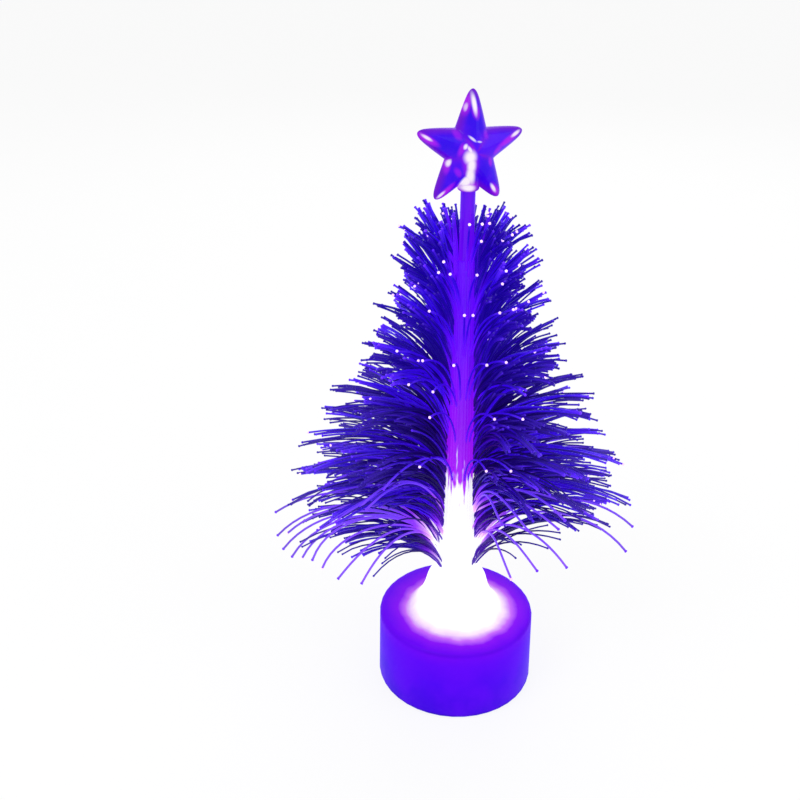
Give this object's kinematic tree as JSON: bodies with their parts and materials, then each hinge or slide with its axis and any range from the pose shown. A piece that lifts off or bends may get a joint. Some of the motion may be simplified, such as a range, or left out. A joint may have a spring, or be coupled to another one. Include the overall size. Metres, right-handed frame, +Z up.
{
  "type": "fiber optic christmas tree",
  "caption": "Tabletop optical fibre tree with tiered fans of fibres on a central bundle, a clear star on top and a round battery base.",
  "frame": {"origin": "centre of the base's round foot, on the surface that the tree stands on", "axes": "+Z up along the light rod, -Y towards the viewer, with the switch at -Y and the cover screws along X"},
  "size_m": [0.0659, 0.0627, 0.1202],
  "materials": {
    "base_white": "translucent white moulding, lit violet from inside",
    "cover_white": "moulded",
    "screw_steel": "zinc plated",
    "cell_steel": "bright can",
    "contact_brass": "plain",
    "spring_steel": "tinned",
    "switch_black": "moulded",
    "knob_white": "moulded",
    "led_epoxy": "clear cast",
    "wire_red": "insulation",
    "wire_blue": "insulation",
    "rod_acrylic": "clear, carries violet light",
    "fibre_acrylic": "clear optical fibre, carries blue violet light",
    "star_acrylic": "clear, carries violet light"
  },
  "bodies": {
    "tree": {"base_shell": "base_white", "bottom_cover": "cover_white", "cover_screw_1": "screw_steel", "cover_screw_2": "screw_steel", "cell_1": "cell_steel", "cell_2": "cell_steel", "cell_3": "cell_steel", "positive_contact": "contact_brass", "negative_plate": "contact_brass", "negative_spring": "spring_steel", "switch_body": "switch_black", "switch_pin_1": "contact_brass", "switch_pin_2": "contact_brass", "switch_pin_3": "contact_brass", "led_holder": "cover_white", "led_lamp": "led_epoxy", "led_anode_lead": "spring_steel", "led_cathode_lead": "spring_steel", "positive_wire": "wire_red", "switched_wire": "wire_blue", "light_rod": "rod_acrylic", "star": "star_acrylic", "fibre_tier_1": "fibre_acrylic", "fibre_tier_2": "fibre_acrylic", "fibre_tier_3": "fibre_acrylic", "fibre_tier_4": "fibre_acrylic", "fibre_tier_5": "fibre_acrylic", "fibre_tier_6": "fibre_acrylic", "fibre_tier_7": "fibre_acrylic", "fibre_tier_8": "fibre_acrylic"},
    "switch_knob": {"switch_knob": "knob_white"},
    "battery_door": {"battery_door": "cover_white"}
  },
  "joints": [
    {"name": "switch_slide", "type": "slide", "parent": "tree", "child": "switch_knob", "axis": [-1, 0, 0], "range_m": [0, 0.002]},
    {"name": "door_twist", "type": "hinge", "parent": "tree", "child": "battery_door", "pos_m": [0, 0, 0.001], "axis": [0, 0, -1], "range_deg": [0, 30]}
  ]
}
